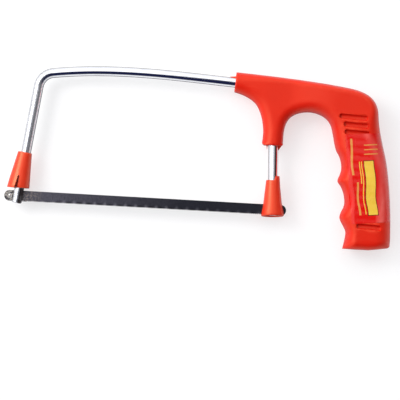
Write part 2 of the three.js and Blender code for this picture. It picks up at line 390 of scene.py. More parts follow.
def end_factor(points, face, in_plane, depth, height):
    """Rounds the edge of a flat end face."""
    fall = 1 - rounded(distance_to(face, points), in_plane)
    return 1 - fall * depth / (height + depth)


def pockets():
    """Each pocket's centre, and the half size of the rectangle between its corner arcs."""
    for i in range(POCKETS):
        extra = FIRST_POCKET_EXTRA if i == 0 else 0
        centre = mix(FIRST_POCKET, LAST_POCKET, i / (POCKETS - 1)) - [extra / 2, 0]
        yield centre, np.array([POCKET_LENGTH + extra, POCKET_HEIGHT]) / 2 - POCKET_CORNER


def pocket_distance(points):
    """How far each point is outside the nearest pocket's edge, or inside it where negative."""
    best = np.full(len(points), np.inf)
    for centre, half in pockets():
        reach = np.abs((points - centre) @ POCKET_TURN.T) - half
        outer = np.linalg.norm(np.maximum(reach, 0), axis=1)
        best = np.minimum(best, outer + np.minimum(reach.max(axis=1), 0) - POCKET_CORNER)
    return best


def grip_height(points):
    """Half the handle's thickness, without its pockets and the rounding of its flat ends."""
    x = points[:, 0]
    half = mix(NECK_THICKNESS, GRIP_THICKNESS, smooth_step(150, 178, x)) / 2
    to_waves = distance_to(FINGER_SIDE, points)
    to_mean = distance_to(FINGER_MEAN, points)
    depth = smooth_step(0, 1, to_waves / finger_rounding(points))
    to_fingers = mix(to_waves, to_mean, depth)
    half = half * rounded(to_fingers, finger_rounding(points))
    half = half * rounded(distance_to(BACK, points), back_rounding(points))
    return half * rounded(distance_to(THROAT, points), THROAT_ROUNDING)


def handle_height(points):
    half = grip_height(points)
    for face, reach, depth, _ in END_FACES:
        half = half * end_factor(points, face, reach, depth, half)
    floor = GRIP_THICKNESS / 2 - POCKET_DEPTH
    sunk = smooth_step(0.12, -0.42, pocket_distance(points))
    return half - np.maximum(half - floor, 0) * sunk


def inward_rings(line, radius, shares, others):
    """Points at shares of the radius in from one stretch of the outline, where it is the nearest one."""
    rings = []
    for share in shares:
        reach = np.full(len(line), share) * radius
        ring = line - across(line) * reach[:, None]
        kept = distance_to(line, ring) > reach * 0.97
        for other in others:
            kept &= distance_to(other, ring) > reach * 0.97 + 0.05
        rings.append(ring[kept])
    return np.vstack(rings)


def pocket_rings():
    """Rounded rectangles inside and outside each pocket's edge."""
    turn = np.linspace(0, 2 * math.pi, 24, endpoint=False) + math.pi / 24
    round_part = np.column_stack([np.cos(turn), np.sin(turn)])
    rings = []
    for centre, half in pockets():
        for grow in (0.22, 0.08, -0.05, -0.2, -0.34, -0.5):
            ring = round_part * (POCKET_CORNER + grow) + np.sign(round_part) * half
            ring = resample(np.vstack([ring, ring[:1]]), 0.7)[:-1]
            rings.append(centre + ring @ POCKET_TURN)
    return np.vstack(rings)


def handle_inner_points():
    angles = np.radians([9, 18, 27, 36, 45, 54, 63, 72, 81])
    shares = 1 - np.cos(angles)
    sides = {
        "back": (BACK, back_rounding),
        "fingers": (FINGER_SIDE, finger_rounding),
        "throat": (THROAT, lambda points: THROAT_ROUNDING),
    }
    rings = []
    for name, (line, radius) in sides.items():
        others = [other for key, (other, _) in sides.items() if key != name]
        rings.append(inward_rings(line, radius(line), shares, others))
    for face, reach, _, _ in END_FACES:
        rings.append(inward_rings(face, reach, shares, []))
    rings = np.vstack(rings)
    rings = rings[np.abs(pocket_distance(rings)) > 0.55]
    x, y = (np.arange(line.min(), line.max(), GRID_SPACING) for line in OUTLINE.T)
    grid = np.column_stack([axis.ravel() for axis in np.meshgrid(x, y)])
    for line, radius in sides.values():
        grid = grid[distance_to(line, grid) > radius(grid) * 0.95]
    for face, _, _, clear in END_FACES:
        grid = grid[distance_to(face, grid) > clear]
    grid = grid[np.abs(pocket_distance(grid)) > 0.6]
    points = np.vstack([rings, grid, pocket_rings()])
    points = points[inside(OUTLINE, points)]
    return points[distance_to(np.vstack([OUTLINE, OUTLINE[:1]]), points) > 0.04]


def add_flash(body, root, tip, thickness, z=0):
    """A sliver of plastic that was squeezed out beside the rod, from a line between two points to a tip."""
    (x0, y0), (x1, y1) = root
    low, high = z - thickness / 2, z + thickness / 2
    ring = body.add_vertices([(x0, y0, low), (x1, y1, low), (x1, y1, high), (x0, y0, high)])
    end = body.add_vertices([mix(np.array(body.vertices[i]), np.array([*tip, z]), 0.96) for i in ring])
    body.bridge(ring, end)
    body.add_face(ring[::-1])
    body.add_face(end)


def make_handle(material):
    flat, triangles, edges = triangulate([OUTLINE], handle_inner_points())
    half = handle_height(flat)
    half = np.where(half < 0.02, 0, half)
    body = two_sided(flat, triangles, edges, -half, half)
    add_flash(body, ((121.9, 71.0), (121.9, 72.8)), (117.9, 72.5), 1.6, 0.6)
    add_flash(body, ((140.3, 36.4), (141.2, 36.4)), (140.9, 33), 0.7)
    add_flash(body, ((146.2, 36.3), (149.2, 36.3)), (146.9, 32.7), 2.6)
    add_piece("handle_shell", body, [material], "frame", "handle", 50)


# ---- Bow rod ----


def front_leg_at(y):
    return np.array([ROD_OFFSET + FRONT_LEAN * y, y])


def rear_post_at(y):
    return np.array([HOLE_PITCH - ROD_OFFSET + REAR_LEAN * y, y])


def bend(start, corner, end, radius):
    """The round bend between two straight runs that would meet at the corner."""
    inward = (corner - start) / np.linalg.norm(corner - start)
    outward = (end - corner) / np.linalg.norm(end - corner)
    turn = math.acos(inward @ outward)
    setback = radius * math.tan(turn / 2)
    reach = radius * 4 / 3 * math.tan(turn / 4)
    first, last = corner - inward * setback, corner + outward * setback
    return cubic(first, first + inward * reach, last - outward * reach, last)


def arch_corner(leg_at, lean, arch_point, slope):
    """Where a leg's axis meets the arch's line at that end."""
    line_at_leg_foot = arch_point[1] + slope * (leg_at(0)[0] - arch_point[0])
    return leg_at(line_at_leg_foot / (1 - slope * lean))


def rod_route():
    """The rod's centre line between the floors of its two end slots."""
    third = (ARCH_END[0] - ARCH_START[0]) / 3
    arch = cubic(
        ARCH_START,
        ARCH_START + [third, third * ARCH_START_SLOPE],
        ARCH_END - [third, third * ARCH_END_SLOPE],
        ARCH_END,
        80,
    )
    front, rear = front_leg_at(SLOT_TOP), rear_post_at(SLOT_TOP)
    front_corner = arch_corner(front_leg_at, FRONT_LEAN, ARCH_START, ARCH_START_SLOPE)
    rear_corner = arch_corner(rear_post_at, REAR_LEAN, ARCH_END, ARCH_END_SLOPE)
    front_bend = bend(front, front_corner, ARCH_START, CORNER_RADIUS)
    rear_bend = bend(ARCH_END, rear_corner, rear, BURIED_RADIUS)
    return resample(np.vstack([front, front_bend, arch[:-1], rear_bend, rear]), 1)


def rod_ring(centre, side, angles, radius=ROD_RADIUS):
    flat = centre + np.cos(angles)[:, None] * radius * side
    return np.column_stack([flat, np.sin(angles) * radius])


def add_prong(body, slot_ring, centre, side, direction, length, angles):
    """Half of a slotted end, from the slot's floor to a chamfered tip."""
    chamfer = 0.5
    rows = [slot_ring]
    for travel, shrink in ((length - chamfer, 1), (length, 0.84)):
        ring = rod_ring(centre + direction * travel, side, angles, ROD_RADIUS * shrink)
        wall = SLOT_WIDTH / 2 * np.sign(ring[:, 2])
        ring[:, 2] = np.where(np.abs(ring[:, 2]) < SLOT_WIDTH / 2, wall, ring[:, 2])
        rows.append(body.add_vertices(ring))
    for one, other in zip(rows, rows[1:]):
        body.bridge(one, other)
    body.add_face(rows[-1])


def add_slotted_end(body, ring, angles, centre, side, direction, length):
    """Two prongs with the slot between them. ring is the full circle at the slot's floor."""
    heights, edge, rounding = np.sin(angles), math.sin(SLOT_EDGE), 1e-9
    for half in (heights >= edge - rounding, heights <= rounding - edge):
        rim = [ring[i] for i in np.flatnonzero(half)]
        add_prong(body, rim, centre, side, direction, length, angles[half])
    floor = np.abs(heights) <= edge + rounding
    right = sorted(np.flatnonzero(floor & (np.cos(angles) > 0)), key=lambda i: heights[i])
    left = sorted(np.flatnonzero(floor & (np.cos(angles) < 0)), key=lambda i: -heights[i])
    body.add_face([ring[i] for i in right + left])


def rod_angles():
    """Angles round the rod, with one at each edge of the end slots."""
    flank = np.linspace(-SLOT_EDGE, SLOT_EDGE, 7)
    over = np.linspace(SLOT_EDGE, math.pi - SLOT_EDGE, ROD_SIDES // 2 - 5)[1:-1]
    return np.concatenate([flank, over, flank + math.pi, over + math.pi])


def make_bow_rod(material):
    angles = rod_angles()
    route = rod_route()
    sides = across(route)
    body = Surface()
    rings = [body.add_vertices(rod_ring(centre, side, angles)) for centre, side in zip(route, sides)]
    for one, other in zip(rings, rings[1:]):
        body.bridge(one, other)
    for end, neighbour, end_y in ((0, 1, FRONT_ROD_END), (-1, -2, REAR_ROD_END)):
        direction = route[end] - route[neighbour]
        direction /= np.linalg.norm(direction)
        add_slotted_end(body, rings[end], angles, route[end], sides[end], direction, SLOT_TOP - end_y)
    add_piece("bow_rod_chromed", body, [material], "frame", "bow_rod")


# ---- Lock sleeves ----


def from_table(y, table):
    return np.interp(y, *zip(*table))


def sleeve_outer(y):
    """Half widths of the sleeve's outside, in the slit's plane and across it."""
    return from_table(y, SLEEVE_IN_PLANE), from_table(y, SLEEVE_ACROSS)


def sleeve_inner(y):
    mouth = from_table(y, SLEEVE_MOUTH)
    return mouth, mouth


def slit_half_width(y):
    """The slit's straight edges draw together from the rim, and it ends in a half circle."""
    if y <= SLIT_STRAIGHT:
        return mix(SLEEVE_SLIT_WIDTH / 2, SLIT_END_RADIUS, y / SLIT_STRAIGHT)
    return SLIT_END_RADIUS * math.sqrt(max(0, 1 - ((y - SLIT_STRAIGHT) / SLIT_END_RADIUS) ** 2))


def sleeve_ring(y, size, offset, tongue, trim):
    """Half a ring above the slit's plane and half below it, each from one side of the slit to the other.
    The narrow end may carry a tongue on one side, and trim pulls the ring in to round an edge."""
    in_plane, across_it = size(y)
    in_plane, across_it = in_plane - trim, across_it - trim
    gap = slit_half_width(y)
    start = math.asin(gap / across_it)
    angles = np.linspace(start, math.pi - start, 29)
    raised = tongue * smooth_step(15, 20, y) * smooth_step(0.2, 0.5, np.cos(angles))
    halves = []
    for side in (1, -1):
        x = np.cos(angles) * in_plane
        z = np.sin(angles) * across_it * side + offset
        z[0] = z[-1] = gap * side if gap > 0 else offset
        slant = SLEEVE_RIM_SLANT * z * smooth_step(9, 0, y)
        halves.append(np.column_stack([x, y + raised + slant, z]))
    return halves


def sleeve_offset(y):
    """The outside and the mouth stand off the bore's axis, a little less so towards the narrow end."""
    return SLEEVE_OFFSET * (1 - 0.2 * y / SLEEVE_LENGTH)


def sleeve_body(tongue):
    body = Surface()
    slit_end = SLIT_STRAIGHT + SLIT_END_RADIUS * np.sin(np.radians(np.arange(0, 91, 18)))
    heights = [0.35, 1.2, 2.4, 3.6, 4.8, 6, *slit_end, 7.2, 8, 9, 10, 11.5, 13, 15, 16, 17, 18, 19, 19.7]
    outer = [(0, 0.3), (0.12, 0.1)] + [(y, 0) for y in heights] + [(19.9, 0.08), (20, 0.25)]
    inner = [(0, -0.25), (0.15, -0.08)] + [(y, 0) for y in heights] + [(19.9, -0.06), (20, -0.2)]
    columns = {1: [], -1: []}
    for profile, size in ((outer, sleeve_outer), (inner, sleeve_inner)):
        for y, trim in profile:
            in_bore = size is sleeve_inner and y > SLEEVE_SLIT_DEPTH
            offset = 0 if in_bore else sleeve_offset(y)
            for side, half in zip((1, -1), sleeve_ring(y, size, offset, tongue, trim)):
                columns[side].append(body.add_vertices(half))
    count = len(outer)
    slit_rows = sum(slit_half_width(y) > 0 for y, _ in outer)
    for column in columns.values():
        out_rows, in_rows = column[:count], column[count:]
        rows = out_rows + in_rows[::-1]
        for one, other in zip(rows, rows[1:] + rows[:1]):
            body.bridge(one, other, closed=False)
        for end in (0, -1):
            edges = [[row[end] for row in side_rows[: slit_rows + 1]] for side_rows in (out_rows, in_rows)]
            body.bridge(*edges, closed=False)
    return body


def make_sleeve(name, node, axis_at, lift, material, twist=0, tongue=0):
    joint = next(j for j in frame["joints"] if j["child"] == node)
    direction = Vector(joint["axis"]).normalized()
    foot = Vector((*axis_at(0), 0)) + direction * lift
    turn = Matrix.Rotation(-math.atan2(direction.x, direction.y), 4, "Z") @ Matrix.Rotation(twist, 4, "Y")
    body = sleeve_body(tongue)
    body.vertices = [foot + turn @ Vector(v) for v in body.vertices]
    add_piece(name, body, [material], node, node, 42)


# ---- Blade and pins ----


def blade_outline():
    half = BLADE_WIDTH / 2
    centre = BLADE_TIP - half
    teeth = int((HOLE_PITCH - 2 * TOOTHLESS_END) / TOOTH_PITCH)
    turn = np.linspace(-math.pi / 2, math.pi / 2, 25)
    rear = np.column_stack([HOLE_PITCH + centre + half * np.cos(turn), half * np.sin(turn)])
    back = [(x, half) for x in np.arange(HOLE_PITCH - 2, 1, -2.0)]
    front = np.column_stack([-centre - half * np.cos(turn), -half * np.sin(turn)])
    tooth = np.array([(0, 0), (0.1, 0), (0.36, 0.28), (0.72, TOOTH_DEPTH), (0.95, 0.45)]) * [TOOTH_PITCH, 1]
    starts = [(TOOTHLESS_END + i * TOOTH_PITCH, -half) for i in range(teeth + 1)]
    return np.vstack([rear, back, front, *[tooth + start for start in starts[:-1]], starts[-1:]])


def hole_outline(x, radius):
    turn = np.linspace(0, 2 * math.pi, 28, endpoint=False)
    return np.column_stack([x + radius * np.cos(turn), radius * np.sin(turn)])


def blade_inner_points():
    along_blade = np.arange(4, HOLE_PITCH - 4, TOOTH_PITCH)
    rows = [(x, y) for y in (-2.3, -2.1, -1.7, -0.9, 0.3, 1.6, 2.6) for x in along_blade]
    rings = [hole_outline(x, radius) for x in (0, HOLE_PITCH) for radius in (1.25, 1.8, 2.5)]
    points = np.vstack([rows, *rings])
    return points[inside(blade_outline(), points)]


def make_blade(material):
    outlines = [blade_outline(), *[hole_outline(x, BLADE_HOLE_RADIUS) for x in (0, HOLE_PITCH)]]
    flat, triangles, edges = triangulate(outlines, blade_inner_points())
    x, y = flat.T
    toothed = smooth_step(TOOTHLESS_END - 1, TOOTHLESS_END + 6, x)
    toothed *= smooth_step(HOLE_PITCH - 8, HOLE_PITCH - 15, x) * smooth_step(-1.7, -2.9, y)
    bent = SET_DEPTH * np.sin(2 * math.pi * x / SET_PITCH) * toothed
    body = two_sided(flat, triangles, edges, bent - BLADE_THICKNESS / 2, bent + BLADE_THICKNESS / 2)
    add_piece("saw_blade", body, [material], "blade", "blade", 30)


def make_pin(name, node, x, material):
    """A cross pin with rounded ends and a shallow dimple in each."""
    profile = [(0.3, 0.9), (0.42, 1), (0.66, 0.99), (0.8, 0.94), (1, 0.84)]
    rings = [(r * PIN_RADIUS, z * PIN_LENGTH / 2) for r, z in profile]
    rings += [(r, -z) for r, z in reversed(rings)]
    turn = np.linspace(0, 2 * math.pi, 32, endpoint=False)
    body = Surface()
    rows = [body.add_vertices([(x + r * math.cos(a), r * math.sin(a), z) for a in turn]) for r, z in rings]
    for one, other in zip(rows, rows[1:]):
        body.bridge(one, other)
    body.add_face(rows[0])
    body.add_face(rows[-1][::-1])
    add_piece(name, body, [material], "blade", node, 40)


# ---- Label ----

GOLD, DARK_INK, FINE_INK = 1, 2, 3
PRINT = (  # material's place in the list, and the printed area's limits across and along the label
    (DARK_INK, 9.3, 15.2, 4, 34.3),
    (GOLD, 9.7, 14.8, 4.4, 33.9),
    (GOLD, 6.9, 7.4, 21.7, 33.8),
    (GOLD, 8, 8.5, 4.9, 33.8),
    (FINE_INK, 2.4, 3.6, 26.6, 46.6),
    (FINE_INK, 4.6, 5.7, 4.5, 22.6),
    *((FINE_INK, 9.7, 17.6, bottom, bottom + 0.6) for bottom in (37.4, 39.9, 42.4)),
)


def print_at(across_label, along_label):
    found = 0
    for material, left, right, bottom, top in PRINT:
        if left < across_label < right and bottom < along_label < top:
            found = material
    return found


def label_steps(limits, length, spacing):
    """Grid lines at every edge of the print and at an even spacing between them."""
    stops = sorted({0, 0.25, length - 0.25, length, *[v for v in limits if v < length]})
    steps = []
    for a, b in zip(stops, stops[1:]):
        steps += list(np.linspace(a, b, max(1, math.ceil((b - a) / spacing)) + 1)[:-1])
    return np.array(steps + [stops[-1]])


def to_the_edge(start, direction):
    """How far it is from a point inside the handle's outline to the outline."""
    reach = np.linspace(0, 40, 401)
    line = start + reach[:, None] * direction
    crossed = int(np.argmax(~inside(OUTLINE, line)))
    low, high = reach[crossed - 1], reach[crossed]
    for _ in range(30):
        middle = (low + high) / 2
        if inside(OUTLINE, (start + middle * direction)[None])[0]:
            low = middle
        else:
            high = middle
    return low


def label_row(start):
    """The handle's surface across the grip from one point of the label's left edge, round the back, and the
    directions square to it."""
    reach = to_the_edge(start, LABEL_DIRECTION) * np.sin(np.linspace(0, math.pi / 2, 160))
    line = start + reach[:, None] * LABEL_DIRECTION
    z = grip_height(line)
    z[-1] = 0
    sag = LABEL_SAG * smooth_step(0.1, -1, pocket_distance(line)) * smooth_step(5.5, 7.5, z)
    over = np.column_stack([line, z - sag])
    under = (over * [1, 1, -1])[::-1][1:]
    under = under[under[:, 2] > -LABEL_WRAP]
    row = np.vstack([over, under])
    slopes = np.gradient(row, axis=0)
    outward = np.column_stack([-slopes[:, 2:] * LABEL_DIRECTION, slopes[:, :2] @ LABEL_DIRECTION])
    return row, outward / np.linalg.norm(outward, axis=1)[:, None]


def make_label(materials):
    """The print keeps its place across the upper side, and the plain run past it stretches to the label's
    end."""
    axis = LABEL_TOP - LABEL_BOTTOM
    length = np.linalg.norm(axis)
    steps = label_steps([v for item in PRINT for v in item[3:]], length, 1)
    rows = [label_row(LABEL_BOTTOM + axis * v / length) for v in steps]
    ends = [distances_along(row + outward * LABEL_LIFT)[-1] for row, outward in rows]
    columns = label_steps([v for item in PRINT for v in item[1:3]], min(ends), 0.7)
    body = Surface()
    outer, inner = [], []
    for (row, outward), end in zip(rows, ends):
        stretch = (end - PRINT_END) / (min(ends) - PRINT_END)
        across_row = np.where(columns < PRINT_END, columns, PRINT_END + (columns - PRINT_END) * stretch)
        outer.append(body.add_vertices(points_at(row + outward * LABEL_LIFT, across_row)))
        underside = row + outward * (LABEL_LIFT - FILM_THICKNESS)
        inner.append(body.add_vertices(points_at(underside, across_row)))
    for i in range(len(steps) - 1):
        for j in range(len(columns) - 1):
            ink = print_at((columns[j] + columns[j + 1]) / 2, (steps[i] + steps[i + 1]) / 2)
            body.add_face((outer[i][j], outer[i][j + 1], outer[i + 1][j + 1], outer[i + 1][j]), ink)
            body.add_face((inner[i + 1][j], inner[i + 1][j + 1], inner[i][j + 1], inner[i][j]))
    inner_rim, outer_rim = (
        [*grid[0], *[row[-1] for row in grid[1:-1]], *grid[-1][::-1], *[row[0] for row in grid[-2:0:-1]]]
        for grid in (inner, outer)
    )
    body.bridge(inner_rim, outer_rim)
    add_piece("grip_label_film", body, materials, "frame", "grip_label", 60)


# ---- Materials ----


def linear(red, green, blue):
    """A colour given as 0 to 255 values, as light."""
    values = [c / 255 for c in (red, green, blue)]
    return (*[c / 12.92 if c <= 0.04045 else ((c + 0.055) / 1.055) ** 2.4 for c in values], 1)


class Nodes:
    """Short ways to add nodes to the node tree of a material or a world."""

    def __init__(self, owner):
        owner.use_nodes = True
        self.tree = owner.node_tree

    def add(self, kind, **settings):
        node = self.tree.nodes.new(kind)
        for key, value in settings.items():
            setattr(node, key, value)
        return node

    def feed(self, socket, value):
        """Gives a socket a constant, or links it to another node's output."""
        if isinstance(value, bpy.types.NodeSocket):
            self.tree.links.new(value, socket)
        else:
            socket.default_value = value

    def part(self, vector, axis):
        node = self.add("ShaderNodeSeparateXYZ")
        self.feed(node.inputs["Vector"], vector)
        return node.outputs[axis]

    def math(self, operation, *values):
        node = self.add("ShaderNodeMath", operation=operation)
        for socket, value in zip(node.inputs, values):
            self.feed(socket, value)
        return node.outputs["Value"]

    def times(self, *values):
        product = values[0]
        for value in values[1:]:
            product = self.math("MULTIPLY", product, value)
        return product

    def spread(self, source, low, high, to_low=0, to_high=1, curve="LINEAR"):
        """Maps the values from low to high onto those from to_low to to_high, and stops there."""
        node = self.add("ShaderNodeMapRange", interpolation_type=curve)
        inputs = {"Value": source, "From Min": low, "From Max": high, "To Min": to_low, "To Max": to_high}
        for name, value in inputs.items():
            self.feed(node.inputs[name], value)
        return node.outputs["Result"]

    def blend(self, share, one, other):
        """The first colour where share is 0, the other where it is 1."""
        node = self.add("ShaderNodeMix", data_type="RGBA")
        self.feed(node.inputs["Factor"], share)
        for socket, value in zip([s for s in node.inputs if s.type == "RGBA"], (one, other)):
            self.feed(socket, value)
        return next(s for s in node.outputs if s.type == "RGBA")


class Look(Nodes):
    """One procedural material. Its colour is built up in layers."""

    def __init__(self, name, **constants):
        self.material = bpy.data.materials.new(name)
        super().__init__(self.material)
        self.shader = self.tree.nodes["Principled BSDF"]
        for key, value in constants.items():
            self.shader.inputs[key.replace("_", " ")].default_value = value
        self.place = self.add("ShaderNodeTexCoord").outputs["Object"]

    def drive(self, name, source):
        self.feed(self.shader.inputs[name], source)

    def start_colour(self, share, one, other):
        self.colour = self.blend(share, linear(*one), linear(*other))
        self.drive("Base Color", self.colour)

    def cover(self, share, colour):
        """Lays one more colour over the ones before it, as far as share says."""
        self.colour = self.blend(share, self.colour, linear(*colour))
        self.drive("Base Color", self.colour)

    def noise(self, scale, detail=3, stretch=(1, 1, 1), rough=0.5):
        mapping = self.add("ShaderNodeMapping")
        mapping.inputs["Scale"].default_value = stretch
        self.feed(mapping.inputs["Vector"], self.place)
        node = self.add("ShaderNodeTexNoise")
        for name, value in (("Scale", scale), ("Detail", detail), ("Roughness", rough)):
            node.inputs[name].default_value = value
        self.feed(node.inputs["Vector"], mapping.outputs["Vector"])
        return node.outputs["Fac"]

    def patches(self, scale, detail, low, high, rough=0.5):
        """Noise drawn apart into patches: 0 where it is under low and 1 where it is over high."""
        return self.spread(self.noise(scale, detail, rough=rough), low, high)

    def saw_place(self, axis):
        """One of the saw's own coordinates, in millimetres."""
        from_origin = self.math("SUBTRACT", self.part(self.place, axis), ORIGIN["XYZ".index(axis)])
        return self.math("DIVIDE", from_origin, MM)

    def normal(self, axis):
        return self.part(self.add("ShaderNodeNewGeometry").outputs["Normal"], axis)

    def steep(self, low, high):
        """1 on the sides of the piece, and 0 on its upper and lower faces."""
        return self.spread(self.math("ABSOLUTE", self.normal("Z")), low, high, 1, 0)

    def sharpness(self, low, high):
        """From 0 to 1 between two sharpnesses: 0.5 is flat, less is a hollow and more is an edge."""
        return self.spread(self.add("ShaderNodeNewGeometry").outputs["Pointiness"], low, high)

    def set_bump(self, *layers):
        """Each layer is a height source, the height in millimetres that 0 to 1 stands for, and its
        strength."""
        normal = None
        for height, size, strength in layers:
            node = self.add("ShaderNodeBump")
            node.inputs["Strength"].default_value = strength
            node.inputs["Distance"].default_value = size * MM
            self.feed(node.inputs["Height"], height)
            if normal is not None:
                self.feed(node.inputs["Normal"], normal)
            normal = node.outputs["Normal"]
        self.drive("Normal", normal)


def moulded_plastic(name, colours, roughness, gloss):
    """Glossy moulded plastic: clouded colour, fine grain, worn edges, painted shade in hollows and on steep
    sides, and the mould's parting line."""
    base, clouded, wear_and_painted_highlight, hollow = colours
    look = Look(name, Specular_Tint=(1, 0.78, 0.44, 1))
    look.start_colour(look.patches(55, 3, 0.3, 0.7), base, clouded)
    # painted shade: a deeper colour in hollows, where shade falls
    look.cover(look.sharpness(0.49, 0.4), hollow)
    rub = look.spread(look.noise(420, 4), 0.35, 0.7, 0.1, 0.6)
    look.cover(look.times(look.sharpness(0.51, 0.58), rub), wear_and_painted_highlight)
    # painted shade on steep sides, lighter on those facing the saw's front, towards the key light
    steep = look.steep(0.12, 0.5)
    look.cover(look.times(steep, look.spread(look.normal("X"), -0.9, -0.3, 0.2, 0.65)), (150, 20, 8))
    look.drive("Specular IOR Level", look.spread(steep, 0, 1, gloss, gloss * 0.25))
    smear = look.noise(130, 5, (1, 0.3, 1))
    look.drive("Roughness", look.spread(smear, 0.3, 0.7, roughness - 0.06, roughness + 0.08))
    seam = look.spread(look.math("ABSOLUTE", look.saw_place("Z")), 0.05, 0.22, 1, 0)
    grain, ripple = look.noise(1900, 2), look.noise(160, 2)
    look.set_bump((grain, 0.012, 0.6), (ripple, 0.12, 0.35), (seam, 0.08, 0.7))
    return look.material


def chrome():
    """Bright plated rod: nearly a mirror, with smudges, a few pits, and a painted dark reflection along each
    flank, darker on the bow's outer side. The plating is speckled on the front leg, and darker and mottled
    on the blade's side of its slotted end."""
    look = Look("chrome_plate", Metallic=1)
    along, up = look.saw_place("X"), look.saw_place("Y")
    smudge = look.noise(90, 4)
    look.start_colour(look.spread(smudge, 0.35, 0.75), (243, 244, 248), (228, 229, 235))
    front_leg = look.spread(along, 15, 22, 1, 0)
    speckle = look.times(look.patches(2000, 2, 0.42, 0.68, rough=0.6), front_leg)
    look.cover(speckle, (150, 150, 154))
    from_leg = look.math("SUBTRACT", along, look.times(up, FRONT_LEAN))
    # darker and mottled on the blade's side of the front slotted end
    dark_end_patch = look.times(
        look.spread(from_leg, ROD_OFFSET + 0.3, ROD_OFFSET + 1.1),
        look.spread(up, 4, 6, 1, 0),
        front_leg,
        look.spread(smudge, 0.2, 0.4, 0.6, 1),
    )
    look.cover(dark_end_patch, (70, 64, 66))
    # painted dark reflections: a grey line along each flank, darker on the bow's outer side
    flank = look.steep(0.3, 0.52)
    look.cover(flank, (112, 112, 115))
    outer_flank = look.times(look.steep(0.42, 0.62), look.spread(look.normal("Y"), 0.2, 0.6))
    look.cover(outer_flank, (84, 84, 88))
    roughness = look.spread(smudge, 0.35, 0.7, 0.05, 0.13)
    for share, extra in ((dark_end_patch, 0.2), (speckle, 0.3), (flank, 0.4)):
        roughness = look.math("ADD", roughness, look.times(share, extra))
    look.drive("Roughness", roughness)
    look.set_bump((look.noise(240, 2), 0.03, 0.25), (look.patches(700, 1, 0.24, 0.3), 0.01, 0.35))
    return look.material


FRONT_MARKS = (  # scale, detail and limits of the patches, where they fade along the blade, share, colour
    (1100, 4, 0.4, 0.52, 1.5, 4, 0.85, (176, 174, 166)),  # bare metal
    (2100, 3, 0.52, 0.6, 8, 19, 0.75, (160, 146, 134)),  # rust
    (1200, 2, 0.5, 0.58, 5, 12, 0.95, (20, 18, 24)),  # lacquer that is left
)


def lacquered_steel():
    """Blue-black lacquer that is worn grey, speckled and rusty at the front, with painted shade and painted
    highlights along the waves of the teeth's set, and worn to bare steel on the tooth tips, which are
    brightened on the wave crests as a painted glint."""
    look = Look("blade_lacquer", Specular_IOR_Level=0.22, Specular_Tint=(0.9, 0.92, 1, 1))
    along, up = look.saw_place("X"), look.saw_place("Y")
    cloud = look.noise(160, 5)
    front = look.spread(look.math("ADD", along, look.times(cloud, 30)), 22, 110, 1, 0)
    look.start_colour(front, (14, 14, 25), (66, 65, 76))
    speckle = look.patches(3200, 3, 0.46, 0.68, rough=0.7)
    look.cover(look.times(speckle, look.spread(front, 0, 1, 0.1, 0.6)), (118, 115, 122))
    look.cover(look.times(look.patches(2300, 2, 0.5, 0.68), 0.6), (12, 10, 22))
    for scale, detail, low, high, near, far, share, colour in FRONT_MARKS:
        near_front = look.spread(along, near, far, share, 0)
        look.cover(look.times(look.patches(scale, detail, low, high), near_front), colour)
    wave = look.math("SINE", look.times(along, 2 * math.pi / SET_PITCH))
    set_share = look.spread(along, 22, 34, 0, 0.9)
    toothed_edge = look.spread(look.math("SUBTRACT", up, look.times(cloud, 1.2)), -2.6, -1.9, 1, 0)
    # painted shade: the toothed edge is darker in the troughs of the set's waves
    look.cover(look.times(toothed_edge, set_share, look.spread(wave, -0.3, 0.6, 1, 0)), (14, 13, 20))
    # painted highlight on the crests of the set's waves
    painted_crest_highlight = look.times(
        look.spread(wave, 0.55, 0.95),
        look.spread(up, -2.6, -0.6, 0.7, 0),
        set_share,
        look.spread(along, 60, 125, 1, 0.25),
    )
    look.cover(painted_crest_highlight, (118, 116, 124))
    on_crest = look.times(look.spread(wave, 0.5, 1), 0.35)
    ragged = look.math("SUBTRACT", look.times(look.noise(800, 3), 0.5), on_crest)
    worn = look.spread(look.math("ADD", up, ragged), -2.62, -2.4, 1, 0)
    # worn tips, brightened on the wave crests as a painted glint
    look.cover(look.times(worn, look.spread(wave, 0.3, 1, 0.5, 1)), (150, 148, 150))
    look.drive("Metallic", look.spread(worn, 0, 1, 0, 0.6))
    look.drive("Roughness", look.spread(cloud, 0.3, 0.7, 0.34, 0.5))
    look.set_bump((look.noise(500, 3, (0.05, 1, 1)), 0.02, 0.5), (speckle, 0.01, 0.4))
    return look.material


def bare_steel():
    """Turned pin steel, with fine rings and dull patches."""
    look = Look("pin_bare_steel", Metallic=1)
    patch = look.noise(900, 3)
    look.start_colour(look.spread(patch, 0.35, 0.65), (214, 212, 208), (166, 162, 158))
    look.drive("Roughness", look.spread(patch, 0.3, 0.7, 0.2, 0.4))
    look.set_bump((look.noise(4000, 2, (1, 1, 0.2)), 0.01, 0.5))
    return look.material


BAND_X = 204.9  # the label's painted highlight band: its place, and how it bends to the front above BAND_BEND_START
BAND_BEND_START = 15
BAND_BEND = 0.012


def painted_highlight_band(look):
    """The share of an uneven painted highlight band along the grip's back, weaker towards the top."""
    up = look.saw_place("Y")
    above = look.math("MAXIMUM", look.math("SUBTRACT", up, BAND_BEND_START), 0)
    bend = look.times(look.math("POWER", above, 2), BAND_BEND)
    from_band = look.math("ADD", look.math("SUBTRACT", look.saw_place("X"), BAND_X), bend)
    return look.times(
        look.spread(look.math("ABSOLUTE", from_band), 0.4, 3.4, 0.8, 0),
        look.spread(up, 4, 22, 1, 0.5),
        look.spread(look.noise(260, 3, (1, 0.5, 1)), 0.3, 0.6, 0.6, 1),
    )


